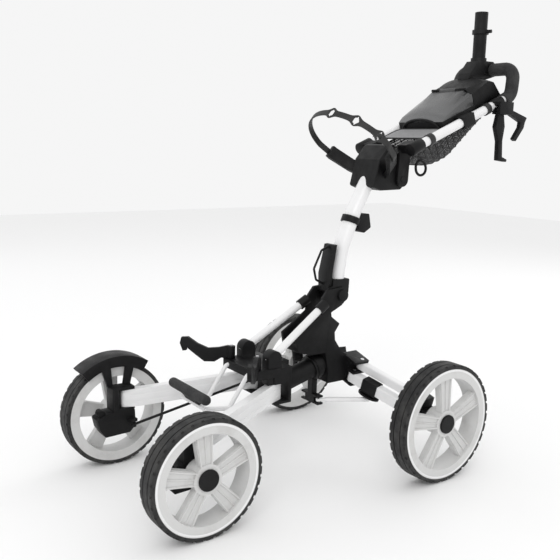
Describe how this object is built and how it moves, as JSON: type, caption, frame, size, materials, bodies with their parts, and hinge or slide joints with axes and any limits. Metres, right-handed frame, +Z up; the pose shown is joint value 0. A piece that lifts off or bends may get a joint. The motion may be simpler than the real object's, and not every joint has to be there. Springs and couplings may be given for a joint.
{
  "type": "golf push trolley",
  "caption": "Folding push trolley for a golf bag, with spoked wheels on splayed legs, strap cradle, sloping handle, console, basket and umbrella tube.",
  "frame": {"origin": "on the ground under the middle of the whole length and width", "axes": "+X to the trolley's left, +Y to the rear where the handle is, +Z up"},
  "size_m": [0.677, 1.2824, 1.23],
  "materials": {
    "white_paint": "white powder coat, satin",
    "black_plastic": "matte, fine grain",
    "lid_plastic": "satin",
    "rim_plastic": "satin",
    "tyre_rubber": "matte",
    "strap_rubber": "matte",
    "grip_foam": "matte foam",
    "steel": "plated",
    "mesh": "woven look"
  },
  "bodies": {
    "chassis": {"main_housing": "black_plastic", "spine_tubes": "white_paint", "spine_sockets": "black_plastic", "crosshead": "black_plastic", "bag_rest_frame": "white_paint", "bag_rest_pad": "strap_rubber", "pivot_pins": "steel"},
    "upright": {"upright_tube": "white_paint", "upright_foot": "black_plastic", "fold_catch": "black_plastic", "upper_bracket": "black_plastic", "bag_strap": "strap_rubber"},
    "front_left_leg": {"front_left_rail": "white_paint"},
    "front_left_knuckle": {"front_left_carrier": "black_plastic", "front_left_axle": "steel"},
    "front_left_wheel": {"front_left_tyre": "tyre_rubber", "front_left_rim": "rim_plastic", "front_left_hub": "black_plastic"},
    "front_left_tie": {"front_left_tie_rod": "white_paint"},
    "rear_left_leg": {"rear_left_arm": "white_paint", "rear_left_clamp": "black_plastic"},
    "rear_left_link": {"rear_left_link": "white_paint"},
    "rear_left_knuckle": {"rear_left_carrier": "black_plastic", "rear_left_axle": "steel"},
    "rear_left_wheel": {"rear_left_tyre": "tyre_rubber", "rear_left_rim": "rim_plastic", "rear_left_hub": "black_plastic"},
    "rear_left_strut": {"rear_left_strut": "white_paint"},
    "front_right_leg": {"front_right_rail": "white_paint"},
    "front_right_knuckle": {"front_right_carrier": "black_plastic", "front_right_axle": "steel"},
    "front_right_wheel": {"front_right_tyre": "tyre_rubber", "front_right_rim": "rim_plastic", "front_right_hub": "black_plastic"},
    "front_right_tie": {"front_right_tie_rod": "white_paint"},
    "rear_right_leg": {"rear_right_arm": "white_paint", "rear_right_clamp": "black_plastic"},
    "rear_right_link": {"rear_right_link": "white_paint"},
    "rear_right_knuckle": {"rear_right_carrier": "black_plastic", "rear_right_axle": "steel"},
    "rear_right_wheel": {"rear_right_tyre": "tyre_rubber", "rear_right_rim": "rim_plastic", "rear_right_hub": "black_plastic"},
    "rear_right_strut": {"rear_right_strut": "white_paint"},
    "slider": {"fold_slider": "black_plastic"},
    "latch": {"latch_lever": "black_plastic"},
    "left_bag_arm": {"lower_left_bag_arm": "black_plastic"},
    "right_bag_arm": {"lower_right_bag_arm": "black_plastic"},
    "handle": {"handle_yoke": "black_plastic", "handle_frame": "white_paint", "handle_grip": "grip_foam", "console_tray": "black_plastic", "mesh_basket": "mesh", "umbrella_base": "black_plastic", "umbrella_tube": "black_plastic", "brake_bracket": "black_plastic"},
    "lid": {"console_lid": "lid_plastic"},
    "collar": {"umbrella_collar": "black_plastic"},
    "park_lever": {"brake_lever": "black_plastic"},
    "finger_lever": {"brake_trigger": "black_plastic"}
  },
  "joints": [
    {"name": "upright_fold", "type": "hinge", "parent": "chassis", "child": "upright", "pos_m": [0, 0.03427, 0.44], "axis": [1, 0, 0], "range_deg": [0, 90]},
    {"name": "front_left_leg_fold", "type": "hinge", "parent": "chassis", "child": "front_left_leg", "pos_m": [0.052, -0.18773, 0.219], "axis": [0, 0, 1], "range_deg": [-14, 0]},
    {"name": "front_left_knuckle_fold", "type": "hinge", "parent": "front_left_leg", "child": "front_left_knuckle", "pos_m": [0.18, -0.49773, 0.1875], "axis": [0, 0, 1], "range_deg": [0, 14]},
    {"name": "front_left_tie_fold", "type": "hinge", "parent": "chassis", "child": "front_left_tie", "pos_m": [0.022, -0.17773, 0.236], "axis": [0, 0, 1], "range_deg": [-14, 0]},
    {"name": "front_left_wheel_spin", "type": "hinge", "parent": "front_left_knuckle", "child": "front_left_wheel", "pos_m": [0.2345, -0.50573, 0.1355], "axis": [1, 0, 0], "continuous": true},
    {"name": "rear_left_leg_fold", "type": "hinge", "parent": "chassis", "child": "rear_left_leg", "pos_m": [0.052, 0.06927, 0.213], "axis": [0.2759, 0, 0.9612], "range_deg": [-70, 0]},
    {"name": "rear_left_link_fold", "type": "hinge", "parent": "chassis", "child": "rear_left_link", "pos_m": [0.06111, 0.08927, 0.24472], "axis": [0.2759, 0, 0.9612], "range_deg": [-70, 0]},
    {"name": "rear_left_knuckle_fold", "type": "hinge", "parent": "rear_left_leg", "child": "rear_left_knuckle", "pos_m": [0.238, 0.11827, 0.1596], "axis": [0.2759, 0, 0.9612], "range_deg": [0, 70]},
    {"name": "rear_left_wheel_spin", "type": "hinge", "parent": "rear_left_knuckle", "child": "rear_left_wheel", "pos_m": [0.3105, 0.13927, 0.1525], "axis": [1, 0, 0], "continuous": true},
    {"name": "rear_left_strut_swing", "type": "hinge", "parent": "slider", "child": "rear_left_strut", "pos_m": [0.028, -0.02973, 0.157], "axis": [0.5722, -0.396, 0.7181], "range_deg": [0, 18.4]},
    {"name": "front_right_leg_fold", "type": "hinge", "parent": "chassis", "child": "front_right_leg", "pos_m": [-0.052, -0.18773, 0.219], "axis": [0, 0, 1], "range_deg": [0, 14]},
    {"name": "front_right_knuckle_fold", "type": "hinge", "parent": "front_right_leg", "child": "front_right_knuckle", "pos_m": [-0.18, -0.49773, 0.1875], "axis": [0, 0, 1], "range_deg": [-14, 0]},
    {"name": "front_right_tie_fold", "type": "hinge", "parent": "chassis", "child": "front_right_tie", "pos_m": [-0.022, -0.17773, 0.236], "axis": [0, 0, 1], "range_deg": [0, 14]},
    {"name": "front_right_wheel_spin", "type": "hinge", "parent": "front_right_knuckle", "child": "front_right_wheel", "pos_m": [-0.2345, -0.50573, 0.1355], "axis": [1, 0, 0], "continuous": true},
    {"name": "rear_right_leg_fold", "type": "hinge", "parent": "chassis", "child": "rear_right_leg", "pos_m": [-0.052, 0.06927, 0.213], "axis": [-0.2759, 0, 0.9612], "range_deg": [0, 70]},
    {"name": "rear_right_link_fold", "type": "hinge", "parent": "chassis", "child": "rear_right_link", "pos_m": [-0.06111, 0.08927, 0.24472], "axis": [-0.2759, 0, 0.9612], "range_deg": [0, 70]},
    {"name": "rear_right_knuckle_fold", "type": "hinge", "parent": "rear_right_leg", "child": "rear_right_knuckle", "pos_m": [-0.238, 0.11827, 0.1596], "axis": [-0.2759, 0, 0.9612], "range_deg": [-70, 0]},
    {"name": "rear_right_wheel_spin", "type": "hinge", "parent": "rear_right_knuckle", "child": "rear_right_wheel", "pos_m": [-0.3105, 0.13927, 0.1525], "axis": [1, 0, 0], "continuous": true},
    {"name": "rear_right_strut_swing", "type": "hinge", "parent": "slider", "child": "rear_right_strut", "pos_m": [-0.028, -0.02973, 0.157], "axis": [0.5722, 0.396, -0.7181], "range_deg": [0, 18.4]},
    {"name": "slider_travel", "type": "slide", "parent": "chassis", "child": "slider", "axis": [0, -0.966, -0.2584], "range_m": [0, 0.0806]},
    {"name": "latch_pull", "type": "hinge", "parent": "upright", "child": "latch", "pos_m": [0, 0.00227, 0.452], "axis": [1, 0, 0], "range_deg": [0, 40], "stiffness_Nm_per_rad": 0.8, "springref_deg": -20.05},
    {"name": "left_bag_arm_swing", "type": "hinge", "parent": "chassis", "child": "left_bag_arm", "pos_m": [0.06, -0.25373, 0.3], "axis": [0, 0, 1], "range_deg": [-45, 0]},
    {"name": "right_bag_arm_swing", "type": "hinge", "parent": "chassis", "child": "right_bag_arm", "pos_m": [-0.06, -0.25373, 0.3], "axis": [0, 0, 1], "range_deg": [0, 45]},
    {"name": "handle_angle", "type": "hinge", "parent": "upright", "child": "handle", "pos_m": [0, 0.21227, 0.748], "axis": [1, 0, 0], "range_deg": [-120, 20]},
    {"name": "lid_open", "type": "hinge", "parent": "handle", "child": "lid", "pos_m": [0, 0.43657, 1.00131], "axis": [-1, 0, 0], "range_deg": [0, 50]},
    {"name": "collar_turn", "type": "hinge", "parent": "handle", "child": "collar", "pos_m": [0, 0.56027, 1.174], "axis": [0, 0, 1], "range_deg": [-90, 90]},
    {"name": "park_swing", "type": "hinge", "parent": "handle", "child": "park_lever", "pos_m": [0.12, 0.52427, 0.945], "axis": [1, 0, 0], "range_deg": [-24, 0]},
    {"name": "finger_pull", "type": "hinge", "parent": "handle", "child": "finger_lever", "pos_m": [0.12, 0.55627, 0.944], "axis": [1, 0, 0], "range_deg": [0, 15], "stiffness_Nm_per_rad": 1.2, "springref_deg": -11.46}
  ],
  "couplings": [
    {"joint": "front_left_leg_fold", "follows": "upright_fold", "ratio": -0.15556},
    {"joint": "front_left_knuckle_fold", "follows": "upright_fold", "ratio": 0.15556},
    {"joint": "front_left_tie_fold", "follows": "upright_fold", "ratio": -0.15556},
    {"joint": "rear_left_leg_fold", "follows": "upright_fold", "ratio": -0.77778},
    {"joint": "rear_left_link_fold", "follows": "upright_fold", "ratio": -0.77778},
    {"joint": "rear_left_knuckle_fold", "follows": "upright_fold", "ratio": 0.77778},
    {"joint": "rear_left_strut_swing", "follows": "upright_fold", "ratio": 0.2044},
    {"joint": "front_right_leg_fold", "follows": "upright_fold", "ratio": 0.15556},
    {"joint": "front_right_knuckle_fold", "follows": "upright_fold", "ratio": -0.15556},
    {"joint": "front_right_tie_fold", "follows": "upright_fold", "ratio": 0.15556},
    {"joint": "rear_right_leg_fold", "follows": "upright_fold", "ratio": 0.77778},
    {"joint": "rear_right_link_fold", "follows": "upright_fold", "ratio": 0.77778},
    {"joint": "rear_right_knuckle_fold", "follows": "upright_fold", "ratio": -0.77778},
    {"joint": "rear_right_strut_swing", "follows": "upright_fold", "ratio": 0.2044},
    {"joint": "slider_travel", "follows": "upright_fold", "m_per_rad": 0.051235}
  ]
}
